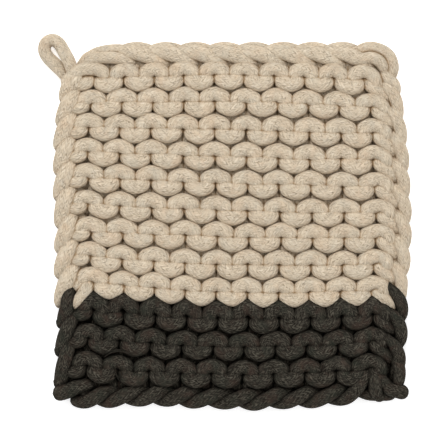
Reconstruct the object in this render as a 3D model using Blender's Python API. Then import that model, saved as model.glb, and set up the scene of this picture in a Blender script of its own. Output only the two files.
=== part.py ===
"""A pot holder knitted in garter stitch from thick round cotton cord, lying flat.

Cream above, charcoal below, with a hanging loop of cream cord at the top left corner.
Metres, +Z up. The knit lies in the XY plane with its top edge towards +Y, its underside on z = 0,
and the origin under the middle of the whole object's box.
"""

import math
import random
from collections import namedtuple

import bmesh
import bpy
from mathutils import Vector

MM = 0.001

# Driving dimensions
RIDGE_PITCH = 15.35 * MM  # from one garter ridge to the next, which is two knitted rows
THICKNESS = 16.0 * MM  # of the whole fabric, over both faces' ridges
RELIEF = 6.0 * MM  # from a ridge's crest down into the groove between ridges
CORD_GAP = 0.35 * MM  # between solids that touch
STITCHES = 10  # whole stitch heads along a ridge
LOOP_CORD = 7.4 * MM  # diameter of the hanging loop's cord
SEED = 11

# How uneven the hand knitting is, as the largest shift of a stitch's points
UNEVEN_PLAN = 0.45 * MM
UNEVEN_HEIGHT = 0.5 * MM

# One row for each ridge, from the bottom, in millimetres: the height of its seam above the cast-on
# edge, the outline at both ends, the middle of its first whole stitch head, and the stitch pitch.
Ridge = namedtuple("Ridge", "yarn seam left right first pitch")
RIDGES = (
    Ridge("charcoal", 22.8, -101.0, 99.3, -81.6, 18.15),
    Ridge("charcoal", 37.7, -99.9, 100.5, -81.6, 18.15),
    Ridge("charcoal", 53.1, -99.9, 100.5, -81.6, 18.15),
    Ridge("cream", 68.5, -102.2, 99.9, -81.6, 18.15),
    Ridge("cream", 84.5, -101.6, 101.6, -81.6, 18.15),
    Ridge("cream", 99.9, -100.8, 102.2, -81.6, 18.15),
    Ridge("cream", 114.7, -101.6, 102.2, -81.6, 18.15),
    Ridge("cream", 130.7, -101.3, 101.6, -81.6, 18.15),
    Ridge("cream", 145.6, -101.6, 101.0, -81.6, 18.10),
    Ridge("cream", 161.0, -100.6, 99.4, -81.1, 17.95),
    Ridge("cream", 176.4, -97.8, 97.0, -79.9, 17.55),
    Ridge("cream", 191.8, -97.0, 96.0, -77.1, 16.85),
)
# The groove between the third and the fourth ridge, in ridges
COLOUR_CHANGE = sum(ridge.yarn == "charcoal" for ridge in RIDGES) - 0.5
CHARCOAL_RISE = 3.5 * MM  # how far the charcoal climbs at both side edges of that groove

# A line of points that runs across the fabric. wave is how far it bows up over a stitch head, in
# ridge pitches; the rest are heights, from 0 in the groove to 1 on the crest.
Line = namedtuple("Line", "offset wave head_middle head_side foot_side foot_middle selvedge")
GROOVE = Line(-0.50, 0.12, 0.00, 0.10, 0.15, 0.05, 0.35)
FOOT = Line(-0.27, 0.08, 0.50, 0.84, 0.97, 1.00, 0.90)
SEAM = Line(0.00, 0.05, 0.55, 0.84, 0.84, 0.60, 1.00)
HEAD = Line(0.27, 0.08, 1.00, 0.97, 0.82, 0.50, 0.90)
FRONT_LINES = (GROOVE, FOOT, SEAM, HEAD)
BACK_LINES = (GROOVE, FOOT, HEAD)
BACK_SHIFT = 0.5  # ridges that the underside's lie above the upper face's
PRESSED = 0.8  # of the relief: whatever stands higher on the underside is pressed flat

# Points across one stitch head, in stitch pitches from its middle
HEAD_SIDE = 0.12
FOOT_SIDE = 0.38
STITCH_POINTS = (-0.5, -FOOT_SIDE, -HEAD_SIDE, 0.0, HEAD_SIDE, FOOT_SIDE)
SELVEDGE_POINTS = (0.0, 0.35, 0.72)  # shares of the way from the outline to the first stitch
SELVEDGE_SLANT = 0.22  # ridge pitches that a selvedge bar drops on its way out
SELVEDGE_BULGE = 0.9 * MM
SELVEDGE_FLAT = 0.65  # share of a selvedge, from the stitches out, that keeps its full height
OUTLINE_FALL = 0.45  # share of the height that is lost from there to the outline

# Lines along the cast-on and bind-off edges: the share of the edge's depth from its outer side,
# and the height there
EdgeLine = namedtuple("EdgeLine", "share height")
EDGE_LINES = (EdgeLine(0.0, 0.45), EdgeLine(0.3, 0.95), EdgeLine(0.68, 0.85))
EDGE_SPREAD = 0.4  # ridges beyond the last groove whose width the edge's outline takes

# The two edges: which way they face, their outline's height above the cast-on edge, how deep its
# scallops are, how far a strand leans across the edge in stitch pitches, and the strands' relief
Edge = namedtuple("Edge", "outwards outline scallop slant relief")
CAST_ON = Edge(-1, 0.0 * MM, 3.2 * MM, 1.1, 0.60)
BIND_OFF = Edge(+1, 211.2 * MM, 1.6 * MM, 0.0, 0.35)

# Rounding of the four corners: its size, and how full it is (2 is a circle, less is flatter)
Corner = namedtuple("Corner", "side end size fullness")
CORNERS = (
    Corner(-1, +1, 25.0 * MM, 1.6),
    Corner(+1, +1, 14.0 * MM, 2.2),
    Corner(-1, -1, 11.0 * MM, 2.2),
    Corner(+1, -1, 12.0 * MM, 2.0),
)

# The hanging loop's centre line in millimetres, from the cast-on edge and the knit's middle. One
# end comes out of the corner above the other, so that they lie partly on each other.
LoopPoint = namedtuple("LoopPoint", "x y z")
LOOP_ROUTE = (
    LoopPoint(-92.6, 200.5, 10.6),
    LoopPoint(-94.0, 203.1, 10.1),
    LoopPoint(-95.9, 206.6, 9.2),
    LoopPoint(-98.5, 210.6, 7.8),
    LoopPoint(-102.2, 212.6, 6.6),
    LoopPoint(-105.9, 210.9, 5.8),
    LoopPoint(-106.9, 207.0, 5.3),
    LoopPoint(-105.2, 202.8, 5.0),
    LoopPoint(-101.8, 198.9, 4.7),
    LoopPoint(-96.7, 194.1, 4.4),
)
LOOP_STEPS = 26
LOOP_SIDES = 10

CREAM = (0.56, 0.46, 0.34)
CHARCOAL = (0.030, 0.026, 0.020)


def ridge_value(field, at):
    """A column of RIDGES in metres at any height in ridges, carried on past both ends."""
    last = len(RIDGES) - 1
    inside = min(max(at, 0.0), float(last))
    low = min(int(inside), last - 1)
    part = inside - low
    below = getattr(RIDGES[low], field)
    above = getattr(RIDGES[low + 1], field)
    value = (below + (above - below) * part) * MM
    if field == "seam":
        value += (at - inside) * RIDGE_PITCH
    return value


def stitch_height(line, phase):
    """The line's height at a phase across a stitch head, from -0.5 to 0.5."""
    near = abs(phase)
    steps = (
        (0.0, line.head_middle),
        (HEAD_SIDE, line.head_side),
        (FOOT_SIDE, line.foot_side),
        (0.5, line.foot_middle),
    )
    for (low, below), (high, above) in zip(steps, steps[1:]):
        if near <= high:
            return below + (above - below) * (near - low) / (high - low)
    return line.foot_middle


def columns(at):
    """The points across the fabric at a height in ridges: x, stitch phase, and how far it lies in
    a selvedge, from 1 on the outline to 0 in the stitches."""
    left = ridge_value("left", at)
    right = ridge_value("right", at)
    first = ridge_value("first", at)
    pitch = ridge_value("pitch", at)
    start = first - pitch / 2
    end = start + STITCHES * pitch
    bulge = SELVEDGE_BULGE * math.cos(2 * math.pi * at)
    points = []
    for share in SELVEDGE_POINTS:
        x = left - bulge + (start - left + bulge) * share
        points.append((x, -0.5, 1 - share))
    for stitch in range(STITCHES):
        for phase in STITCH_POINTS:
            points.append((first + (stitch + phase) * pitch, phase, 0.0))
    points.append((end, 0.5, 0.0))
    for share in reversed(SELVEDGE_POINTS):
        x = right + bulge + (end - right - bulge) * share
        points.append((x, 0.5, 1 - share))
    return points


def round_corners(x, y):
    """Moves a point of the square outline onto the rounded one, and those inside along with it."""
    for corner in CORNERS:
        edge = BIND_OFF if corner.end > 0 else CAST_ON
        nearest = len(RIDGES) - 1 if corner.end > 0 else 0
        side = ridge_value("right" if corner.side > 0 else "left", nearest)
        middle_x = side - corner.side * corner.size
        middle_y = edge.outline - corner.end * corner.size
        out_x = (x - middle_x) * corner.side / corner.size
        out_y = (y - middle_y) * corner.end / corner.size
        if out_x <= 0 or out_y <= 0:
            continue
        reach = (out_x**corner.fullness + out_y**corner.fullness) ** (1 / corner.fullness)
        scale = max(out_x, out_y) / reach
        x = middle_x + corner.side * corner.size * out_x * scale
        y = middle_y + corner.end * corner.size * out_y * scale
    return x, y


def rounded_off(selvedge):
    """The share of its height that a line keeps in a selvedge, which falls off at the outline."""
    return 1 - OUTLINE_FALL * max(0.0, selvedge - SELVEDGE_FLAT) / (1 - SELVEDGE_FLAT)


def ridge_row(centre, line, jitter, even=False):
    """One line of points across the stitches of a ridge: x, y and height."""
    at = centre + line.offset
    row = []
    for x, phase, selvedge in columns(at):
        y = ridge_value("seam", at)
        bow = line.wave * math.cos(2 * math.pi * phase)
        height = stitch_height(line, phase)
        if selvedge > 0:
            bow = -line.wave - SELVEDGE_SLANT * selvedge
            height = line.selvedge * rounded_off(selvedge)
        y += bow * RIDGE_PITCH
        if not even:
            y += jitter.uniform(-1, 1) * UNEVEN_PLAN
            height += jitter.uniform(-1, 1) * UNEVEN_HEIGHT / RELIEF * line.head_middle
        x, y = round_corners(x, y)
        row.append((x, y, min(max(height, 0.0), 1.0)))
    return row


def edge_row(at, line, edge):
    """One line of points along the cast-on or the bind-off, which leaves the stitches at a height
    in ridges."""
    base = ridge_value("seam", at)
    depth = abs(edge.outline - base)
    out = 1 - line.share
    row = []
    for x, phase, selvedge in columns(at + edge.outwards * EDGE_SPREAD * out):
        turn = 2 * math.pi * (phase + edge.slant * out)
        y = base + edge.outwards * out * (depth - edge.scallop * (1 - math.cos(turn)) / 2)
        height = line.height
        if selvedge > 0:
            y -= SELVEDGE_SLANT * RIDGE_PITCH * selvedge * line.share
            height *= rounded_off(selvedge)
        elif line.share > 0:
            height += edge.relief * (math.cos(turn) - 1) / 2
        x, y = round_corners(x, y)
        row.append((x, y, height))
    return row


def colour_change_row(line, centre):
    """The line that both yarns' solids share, without unevenness and raised at the side edges."""
    at = centre + line.offset
    row = []
    for (x, y, height), (_, _, selvedge) in zip(
        ridge_row(centre, line, None, even=True), columns(at)
    ):
        row.append((x, y + CHARCOAL_RISE * math.sqrt(selvedge), height))
    return row


def front_rows():
    """The upper face's rows from the cast-on up, and the number of the row at the colour change."""
    jitter = random.Random(SEED)
    rows = []
    for line in EDGE_LINES:
        rows.append(edge_row(GROOVE.offset, line, CAST_ON))
    change = None
    for ridge in range(len(RIDGES)):
        for line in FRONT_LINES:
            if ridge + line.offset == COLOUR_CHANGE:
                change = len(rows)
                rows.append(colour_change_row(line, ridge))
            else:
                rows.append(ridge_row(ridge, line, jitter))
    rows.append(ridge_row(len(RIDGES), GROOVE, jitter))
    for line in reversed(EDGE_LINES):
        rows.append(edge_row(len(RIDGES) + GROOVE.offset, line, BIND_OFF))
    return rows, change


def back_rows():
    """The underside's rows. Its ridges lie under the upper face's grooves."""
    jitter = random.Random(SEED + 1)
    rows = []
    for line in EDGE_LINES:
        rows.append(edge_row(0.0, line, CAST_ON))
    change = None
    for ridge in range(len(RIDGES) - 1):
        for line in BACK_LINES:
            centre = ridge + BACK_SHIFT
            if line is HEAD and centre == COLOUR_CHANGE:
                change = len(rows)
                rows.append(colour_change_row(SEAM, centre))
            rows.append(ridge_row(centre, line, jitter))
    rows.append(ridge_row(len(RIDGES) - 1 + BACK_SHIFT, GROOVE, jitter))
    for line in reversed(EDGE_LINES):
        rows.append(edge_row(len(RIDGES) - 1.0, line, BIND_OFF))
    return rows, change


def add_row(bm, row, shift, underside):
    """Adds a row's points to the mesh, moved along Y by shift."""
    points = []
    for x, y, height in row:
        if underside:
            z = RELIEF * (1 - min(1.0, height / PRESSED))
        else:
            z = THICKNESS - RELIEF * (1 - height)
        points.append(bm.verts.new((x, y + shift, z)))
    return points


def join_rows(bm, below, above):
    """Quads between two rows with as many points."""
    for a, b, c, d in zip(below, below[1:], above[1:], above):
        bm.faces.new((a, b, c, d))


def close_side(bm, upper, lower):
    """Triangles between the ends of the upper face's rows and of the underside's, from below up."""
    i = 0
    j = 0
    while i < len(upper) - 1 or j < len(lower) - 1:
        upper_next = upper[i + 1].co.y if i < len(upper) - 1 else math.inf
        lower_next = lower[j + 1].co.y if j < len(lower) - 1 else math.inf
        if upper_next <= lower_next:
            bm.faces.new((upper[i], upper[i + 1], lower[j]))
            i += 1
        else:
            bm.faces.new((upper[i], lower[j + 1], lower[j]))
            j += 1


def knit(name, upper_rows, lower_rows, shift_first, shift_last, material):
    """One yarn's stretch of fabric as a closed solid, both faces raised into stitches."""
    bm = bmesh.new()
    faces = []
    for rows, underside in ((upper_rows, False), (lower_rows, True)):
        made = []
        for number, row in enumerate(rows):
            shift = 0.0
            if number == 0:
                shift = shift_first
            if number == len(rows) - 1:
                shift = shift_last
            made.append(add_row(bm, row, shift, underside))
        for below, above in zip(made, made[1:]):
            join_rows(bm, below, above)
        faces.append(made)
    upper, lower = faces
    join_rows(bm, upper[0], lower[0])
    join_rows(bm, upper[-1], lower[-1])
    for end in (0, -1):
        close_side(bm, [row[end] for row in upper], [row[end] for row in lower])
    bmesh.ops.recalc_face_normals(bm, faces=bm.faces)
    return finish(name, bm, material)


def finish(name, bm, material):
    """Turns a bmesh into a smooth-shaded object with its material."""
    mesh = bpy.data.meshes.new(name)
    bm.to_mesh(mesh)
    bm.free()
    mesh.shade_smooth()
    mesh.materials.append(material)
    made = bpy.data.objects.new(name, mesh)
    bpy.context.scene.collection.objects.link(made)
    return made


def curve_point(points, at):
    """A point of the smooth curve through the given points, at runs from 0 to 1."""
    place = at * (len(points) - 1)
    low = min(int(place), len(points) - 2)
    part = place - low
    before = points[max(low - 1, 0)]
    start = points[low]
    stop = points[low + 1]
    after = points[min(low + 2, len(points) - 1)]
    square = part * part
    cube = square * part
    return (
        start * 2
        + (stop - before) * part
        + (before * 2 - start * 5 + stop * 4 - after) * square
        + (start * 3 - before - stop * 3 + after) * cube
    ) / 2


def hanging_loop(material):
    """The folded end of cord that stands out from the top left corner."""
    route = [Vector(point) * MM for point in LOOP_ROUTE]
    centres = [curve_point(route, step / LOOP_STEPS) for step in range(LOOP_STEPS + 1)]
    bm = bmesh.new()
    rings = []
    for number, centre in enumerate(centres):
        before = centres[max(number - 1, 0)]
        after = centres[min(number + 1, LOOP_STEPS)]
        along = (after - before).normalized()
        up = (Vector((0, 0, 1)) - along * along.z).normalized()
        across = along.cross(up)
        ring = []
        for side in range(LOOP_SIDES):
            angle = 2 * math.pi * (side + 0.5) / LOOP_SIDES
            offset = across * math.cos(angle) + up * math.sin(angle)
            ring.append(bm.verts.new(centre + offset * LOOP_CORD / 2))
        rings.append(ring)
    for ring, following in zip(rings, rings[1:]):
        for side in range(LOOP_SIDES):
            beside = (side + 1) % LOOP_SIDES
            bm.faces.new((ring[side], ring[beside], following[beside], following[side]))
    bm.faces.new(rings[0])
    bm.faces.new(rings[-1])
    bmesh.ops.recalc_face_normals(bm, faces=bm.faces)
    return finish("hanging_loop", bm, material)


def cotton(name, colour):
    """Matt cotton cord of one colour."""
    material = bpy.data.materials.new(name)
    material.use_nodes = True
    shader = material.node_tree.nodes["Principled BSDF"]
    shader.inputs["Base Color"].default_value = (*colour, 1.0)
    shader.inputs["Roughness"].default_value = 0.95
    shader.inputs["Metallic"].default_value = 0.0
    material.diffuse_color = (*colour, 1.0)
    return material


def centre_on_origin(pieces):
    """Moves the meshes so that the origin lies under the middle of their common box."""
    points = [vertex.co for piece in pieces for vertex in piece.data.vertices]
    low = Vector([min(point[axis] for point in points) for axis in range(3)])
    high = Vector([max(point[axis] for point in points) for axis in range(3)])
    middle = (low + high) / 2
    for piece in pieces:
        for vertex in piece.data.vertices:
            vertex.co -= Vector((middle.x, middle.y, low.z))


def build():
    for old in list(bpy.data.objects):
        bpy.data.objects.remove(old)
    cream = cotton("cream_cotton", CREAM)
    charcoal = cotton("charcoal_cotton", CHARCOAL)
    upper, upper_change = front_rows()
    lower, lower_change = back_rows()
    half_gap = CORD_GAP / 2
    pieces = [
        knit(
            "charcoal_knit",
            upper[: upper_change + 1],
            lower[: lower_change + 1],
            0.0,
            -half_gap,
            charcoal,
        ),
        knit("cream_knit", upper[upper_change:], lower[lower_change:], half_gap, 0.0, cream),
        hanging_loop(cream),
    ]
    centre_on_origin(pieces)


build()
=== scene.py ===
"""The looks of a pot holder knitted in garter stitch from thick soft cotton cord.

Every ridge is modelled as the cord really runs: stitch heads and sinkers on both faces, with the
legs of the stitches passing between them. The cast-on is a two-strand rope, the bind-off a chain
of links, the left selvedge a chain of slanting links, and one corner has a hanging loop.
Places are given in wales (u, 0 at the first whole stitch head) and ridges (v, 0 at the lowest
ridge's seam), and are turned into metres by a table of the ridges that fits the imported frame.
"""

import math
import random
from collections import namedtuple

import bpy
import numpy as np
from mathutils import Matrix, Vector

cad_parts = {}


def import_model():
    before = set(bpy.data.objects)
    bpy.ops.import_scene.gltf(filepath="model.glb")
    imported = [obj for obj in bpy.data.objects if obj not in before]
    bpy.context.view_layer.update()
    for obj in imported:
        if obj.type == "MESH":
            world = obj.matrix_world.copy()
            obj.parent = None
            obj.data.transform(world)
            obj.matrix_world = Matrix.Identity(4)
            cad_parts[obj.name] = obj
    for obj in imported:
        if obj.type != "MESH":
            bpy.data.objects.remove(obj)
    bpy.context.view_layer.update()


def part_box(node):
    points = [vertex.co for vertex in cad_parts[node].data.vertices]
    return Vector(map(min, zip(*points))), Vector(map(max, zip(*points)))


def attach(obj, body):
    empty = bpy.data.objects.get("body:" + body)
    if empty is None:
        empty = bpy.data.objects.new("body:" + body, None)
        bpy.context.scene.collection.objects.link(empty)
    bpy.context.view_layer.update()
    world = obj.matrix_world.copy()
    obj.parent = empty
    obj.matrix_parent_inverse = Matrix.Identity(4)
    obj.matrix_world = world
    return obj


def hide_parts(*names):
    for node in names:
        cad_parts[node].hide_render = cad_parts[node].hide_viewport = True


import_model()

MM = 0.001

# The knit's driving sizes, in metres
RIDGE_PITCH = 15.35 * MM  # past the ends of the ridges' table
MIDDLE_HEIGHT = 8.0 * MM  # of the fabric's middle plane above the floor
CREST = 4.3 * MM  # from the middle plane to the centre of a cord that crosses a ridge
STITCHES = 10  # in a row
CORD = 7.4 * MM  # diameter of the cord before it is squeezed

# The frame: where the cast-on edge and the knit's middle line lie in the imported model
LEFT_OF_MIDDLE = 103.1 * MM  # from the knit's middle line to the cream node's left side
EDGE_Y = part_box("charcoal_knit")[0].y
MIDDLE_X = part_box("cream_knit")[0].x + LEFT_OF_MIDDLE

# One row for each ridge, from the bottom, in millimetres: the height of its seam above the cast-on
# edge at its first, middle and last stitch head, the outline at both ends, the middle of its
# first stitch head, and the stitch pitch. No two are quite alike.
Ridge = namedtuple("Ridge", "yarn seam_left seam_middle seam_right left right first pitch")
RIDGES = (
    Ridge("charcoal", 26.0, 21.7, 24.8, -101.0, 99.3, -82.2, 17.75),
    Ridge("charcoal", 42.6, 37.9, 40.2, -99.9, 100.5, -81.6, 17.80),
    Ridge("charcoal", 57.9, 53.1, 55.2, -99.9, 100.5, -78.5, 17.75),
    Ridge("cream", 74.4, 68.7, 69.7, -102.2, 99.9, -79.1, 17.65),
    Ridge("cream", 89.2, 84.3, 84.3, -101.6, 101.6, -80.2, 17.95),
    Ridge("cream", 103.4, 100.2, 99.7, -100.8, 102.2, -79.9, 18.05),
    Ridge("cream", 119.0, 114.8, 113.6, -101.6, 102.2, -81.6, 18.25),
    Ridge("cream", 134.0, 130.5, 128.8, -101.3, 101.6, -81.4, 18.10),
    Ridge("cream", 148.2, 145.7, 143.6, -101.6, 101.0, -81.6, 18.05),
    Ridge("cream", 162.2, 161.2, 159.0, -100.6, 99.4, -81.4, 18.00),
    Ridge("cream", 176.2, 176.8, 173.9, -97.8, 97.0, -80.1, 17.75),
    Ridge("cream", 189.8, 191.9, 188.9, -97.0, 96.0, -77.7, 17.00),
)
# The straight lines one ridge below the first and one above the last
CAST_ON_LINE = Ridge("charcoal", 7.4, 7.4, 7.4, -101.0, 99.3, -82.2, 17.75)
BIND_OFF_LINE = Ridge("cream", 207.2, 207.2, 207.2, -97.0, 96.0, -77.1, 16.85)
TOP = len(RIDGES) - 1  # the highest ridge's number
CHANGE = [ridge.yarn for ridge in RIDGES].index("cream")  # the lowest cream ridge's number
STITCHES_START = -0.5  # wales, where the left selvedge ends
STITCHES_END = STITCHES - 0.5  # wales, where the right one starts
SELVEDGE = 0.6  # wales from there to the outline

# A bend of a cord's route: its place in wales and ridges, its height over the middle plane as a
# share of CREST, and the cord's half width and half thickness there in millimetres
Bend = namedtuple("Bend", "u v rise wide thick")

# Half a stitch head, from its top to the leg, and half a sinker, from its lowest point
HEAD = (
    Bend(0.000, 0.286, 1.00, 4.15, 3.65),
    Bend(0.120, 0.252, 1.00, 4.25, 3.65),
    Bend(0.238, 0.184, 0.98, 4.35, 3.60),
    Bend(0.312, 0.090, 0.92, 4.30, 3.45),
    Bend(0.352, 0.000, 0.66, 4.55, 3.10),
    Bend(0.340, -0.090, 0.05, 4.40, 2.80),
)
LEG = Bend(0.255, -0.260, -0.20, 4.20, 2.60)
SINKER = (
    Bend(0.000, -0.276, 1.10, 4.45, 3.65),
    Bend(0.125, -0.240, 1.10, 4.50, 3.65),
    Bend(0.248, -0.172, 0.98, 4.40, 3.55),
    Bend(0.302, -0.085, 0.70, 4.00, 3.35),
    Bend(0.318, 0.010, 0.20, 3.85, 3.00),
)
CHANGE_HEADS_UP = 0.15  # ridges by which the heads under the change of colour stand higher
CHANGE_HEADS_WIDE = 1.10  # and how much wider their cord is

# The right selvedge: from the last head of a ridge, round the edge as a slanting bar on each
# face, and up into the half sinker that starts the row back. u is counted from the last wale.
RIGHT_TURN = (
    Bend(0.150, 0.280, 1.00, 3.90, 3.65),
    Bend(0.290, 0.210, 1.04, 4.00, 3.60),
    Bend(0.385, 0.100, 1.08, 4.10, 3.55),
    Bend(0.425, -0.030, 1.05, 4.10, 3.45),
    Bend(0.420, -0.140, 0.75, 4.20, 3.20),
    Bend(0.370, -0.270, 0.10, 4.40, 3.00),
    Bend(0.350, -0.450, -0.60, 4.60, 3.20),
    Bend(0.560, -0.620, -0.80, 3.90, 3.30),
    Bend(0.720, -0.600, -0.50, 3.60, 3.20),
    Bend(0.810, -0.520, -0.25, 3.50, 3.30),
    Bend(0.855, -0.400, 0.10, 3.60, 3.50),
    Bend(0.915, -0.200, 0.45, 3.80, 3.60),
    Bend(0.935, 0.050, 0.78, 3.80, 3.60),
    Bend(0.915, 0.300, 1.00, 3.80, 3.60),
    Bend(0.835, 0.580, 1.14, 3.60, 3.60),
    Bend(0.750, 0.780, 1.08, 3.40, 3.50),
    Bend(0.690, 0.900, 0.60, 3.30, 3.40),
    Bend(0.680, 0.960, -0.10, 3.60, 3.30),
    Bend(0.740, 0.860, -0.65, 3.60, 3.30),
    Bend(0.860, 0.580, -0.95, 3.60, 3.60),
    Bend(0.920, 0.300, -1.00, 3.60, 3.60),
    Bend(0.920, 0.000, -1.00, 3.60, 3.60),
    Bend(0.860, -0.280, -0.95, 3.60, 3.60),
    Bend(0.760, -0.520, -0.75, 3.60, 3.50),
    Bend(0.700, -0.680, -0.20, 3.60, 3.40),
    Bend(0.660, -0.640, 0.30, 3.70, 3.40),
    Bend(0.580, -0.530, 0.62, 3.80, 3.45),
    Bend(0.450, -0.400, 0.80, 3.90, 3.50),
    Bend(0.320, -0.285, 0.90, 3.90, 3.50),
    Bend(0.220, -0.160, 0.88, 4.00, 3.45),
    Bend(0.180, -0.030, 0.55, 3.90, 3.20),
)
BAR_START = 9  # the bars are the bends from here
BAR_END = 24  # up to here

# How some of the bars differ. Heights are in ridges from the bar's own ridge.
CHARCOAL_BAR_LEAN = 0.12  # wales by which the charcoal bars lean further in for each ridge up
CHARCOAL_BAR_LIFT = 0.24  # ridges by which they lie higher
CHARCOAL_LIFT_FADE = 0.70  # share of that lift which is lost for each ridge up
CHARCOAL_LIFT_END = 2.00  # height at which nothing of it would be left
CHARCOAL_TIP_START = 0.60  # height at which their tips start
CHARCOAL_TIP_LENGTH = 0.30
CHARCOAL_TIP_RISE = 0.30  # share of CREST by which their tips stand out more
CHARCOAL_TIP_THIN = 0.30  # share of their width that their tips lose
TOP_BAR_SHORT = 0.50  # how much of its length the bar beside the top ridge has

# The left selvedge: from the last sinker half of a ridge, through the edge, to the leg of the
# next ridge's first head. v is counted from the finished ridge.
LEFT_TURN = (
    Bend(-0.188, 0.010, 0.55, 3.85, 3.15),
    Bend(-0.215, -0.090, 0.90, 3.95, 3.45),
    Bend(-0.300, -0.165, 1.00, 3.95, 3.55),
    Bend(-0.420, -0.195, 0.90, 3.90, 3.50),
    Bend(-0.540, -0.170, 0.45, 3.80, 3.30),
    Bend(-0.650, -0.070, -0.25, 3.70, 3.20),
    Bend(-0.690, 0.120, -0.80, 3.70, 3.30),
    Bend(-0.580, 0.310, -0.95, 3.80, 3.40),
    Bend(-0.360, 0.430, -0.80, 4.60, 3.20),
    Bend(-0.230, 0.640, -0.30, 4.70, 2.80),
    Bend(-0.275, 0.860, 0.25, 4.10, 2.60),
)

# The same beside the first cream ridge: the half sinker slants down over the charcoal, and the
# rest is as everywhere. A short stub fills the place that it leaves.
CHANGE_TURN = (
    Bend(-0.188, 0.000, 0.45, 3.85, 3.15),
    Bend(-0.175, -0.150, 0.90, 3.95, 3.45),
    Bend(-0.230, -0.330, 1.08, 4.00, 3.55),
    Bend(-0.340, -0.530, 1.16, 3.80, 3.50),
    Bend(-0.470, -0.700, 1.12, 3.50, 3.40),
    Bend(-0.570, -0.830, 0.85, 3.00, 3.10),
    Bend(-0.630, -0.880, 0.25, 2.80, 2.90),
    Bend(-0.680, -0.650, -0.35, 3.20, 3.10),
    Bend(-0.690, -0.250, -0.70, 3.50, 3.20),
    *LEFT_TURN[6:],
)
CHANGE_STUB = (
    Bend(-0.300, 0.080, 0.62, 3.40, 3.10),
    Bend(-0.420, -0.080, 0.72, 3.60, 3.30),
    Bend(-0.520, -0.220, 0.60, 3.40, 3.20),
    Bend(-0.590, -0.320, 0.10, 3.20, 3.00),
)

# The top ridge's first head is wide and low, and comes straight from the edge
TOP_FIRST_HEAD = (
    Bend(-0.960, -0.260, 0.50, 3.70, 3.60),
    Bend(-0.800, 0.070, 0.95, 3.80, 3.70),
    Bend(-0.570, 0.265, 1.05, 3.90, 3.70),
    Bend(-0.300, 0.345, 1.08, 4.00, 3.70),
    Bend(0.010, 0.340, 1.05, 4.00, 3.70),
    Bend(0.250, 0.225, 1.00, 4.10, 3.60),
    Bend(0.345, 0.060, 0.75, 4.10, 3.30),
    Bend(0.320, -0.090, 0.20, 4.20, 2.90),
)

# A link of the left selvedge's chain, once round: up over the face and down over the back. Its
# thickness is measured to the right, so that it is what shows from above.
EDGE_LINK = (
    Bend(-0.890, -0.740, -0.10, 3.60, 4.20),
    Bend(-0.865, -0.540, 0.38, 3.60, 4.60),
    Bend(-0.805, -0.300, 0.76, 3.60, 4.90),
    Bend(-0.735, -0.050, 1.02, 3.70, 5.00),
    Bend(-0.665, 0.170, 1.08, 3.70, 4.70),
    Bend(-0.600, 0.350, 0.86, 3.60, 4.20),
    Bend(-0.550, 0.460, 0.25, 3.50, 3.80),
    Bend(-0.560, 0.420, -0.45, 3.40, 3.80),
    Bend(-0.670, 0.120, -0.95, 3.40, 4.30),
    Bend(-0.780, -0.220, -1.00, 3.40, 4.50),
    Bend(-0.860, -0.540, -0.75, 3.40, 4.30),
    Bend(-0.880, -0.760, -0.40, 3.40, 4.00),
)

# How some of the links differ. Heights are those in the table above.
CHARCOAL_LINK_LIFT = 0.22  # ridges by which the charcoal links lie higher
CHARCOAL_LINK_THIN = 0.86  # share of their thickness that they have on the face
CHARCOAL_LINK_IN = 0.08  # wales by which they lie further in there, for each ridge down
CHARCOAL_IN_UNDER = 0.30  # from this height
LAST_LINK_OUT = 0.09  # wales by which the last charcoal link lies further out, for each ridge up
LAST_OUT_OVER = -0.60  # from this height
CREAM_FOOT_UNDER = -0.10  # height under which the first cream link's foot lies
CREAM_FOOT_LENGTH = 0.60
CREAM_FOOT_OUT = 0.12  # wales by which that foot lies further out
CREAM_FOOT_THIN = 0.66  # share of its thickness that the link has there
TOP_LINK_SQUASH = 0.425  # share of its height that the top link loses
TOP_SQUASH_OVER = -0.20  # over this height

# A link of the bind-off chain, once round, from its left tip. v is counted from the top ridge.
CHAIN_LINK = (
    Bend(-0.550, 0.880, 0.20, 3.50, 3.40),
    Bend(-0.300, 0.985, 0.45, 3.60, 3.50),
    Bend(0.000, 1.030, 0.46, 3.70, 3.60),
    Bend(0.300, 0.990, 0.34, 3.60, 3.50),
    Bend(0.560, 0.880, 0.00, 3.50, 3.30),
    Bend(0.800, 0.700, -0.35, 3.50, 3.20),
    Bend(0.990, 0.500, -0.30, 3.40, 3.20),
    Bend(0.930, 0.490, 0.20, 3.50, 3.30),
    Bend(0.720, 0.610, 0.78, 4.10, 3.40),
    Bend(0.400, 0.735, 1.02, 4.40, 3.50),
    Bend(0.100, 0.835, 1.06, 4.40, 3.50),
    Bend(-0.220, 0.885, 0.98, 4.10, 3.45),
    Bend(-0.480, 0.900, 0.65, 3.60, 3.40),
)
# The cord inside the chain, for each wale
CHAIN_CORE = (
    Bend(-0.500, 0.560, -0.30, 3.80, 3.40),
    Bend(0.000, 0.600, -0.10, 3.80, 3.40),
)
CHAIN_FIRST = 1.38  # wales to the middle of the first link
CHAIN_PITCH = 0.993  # wales from link to link
CHAIN_LINKS = 8

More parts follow.
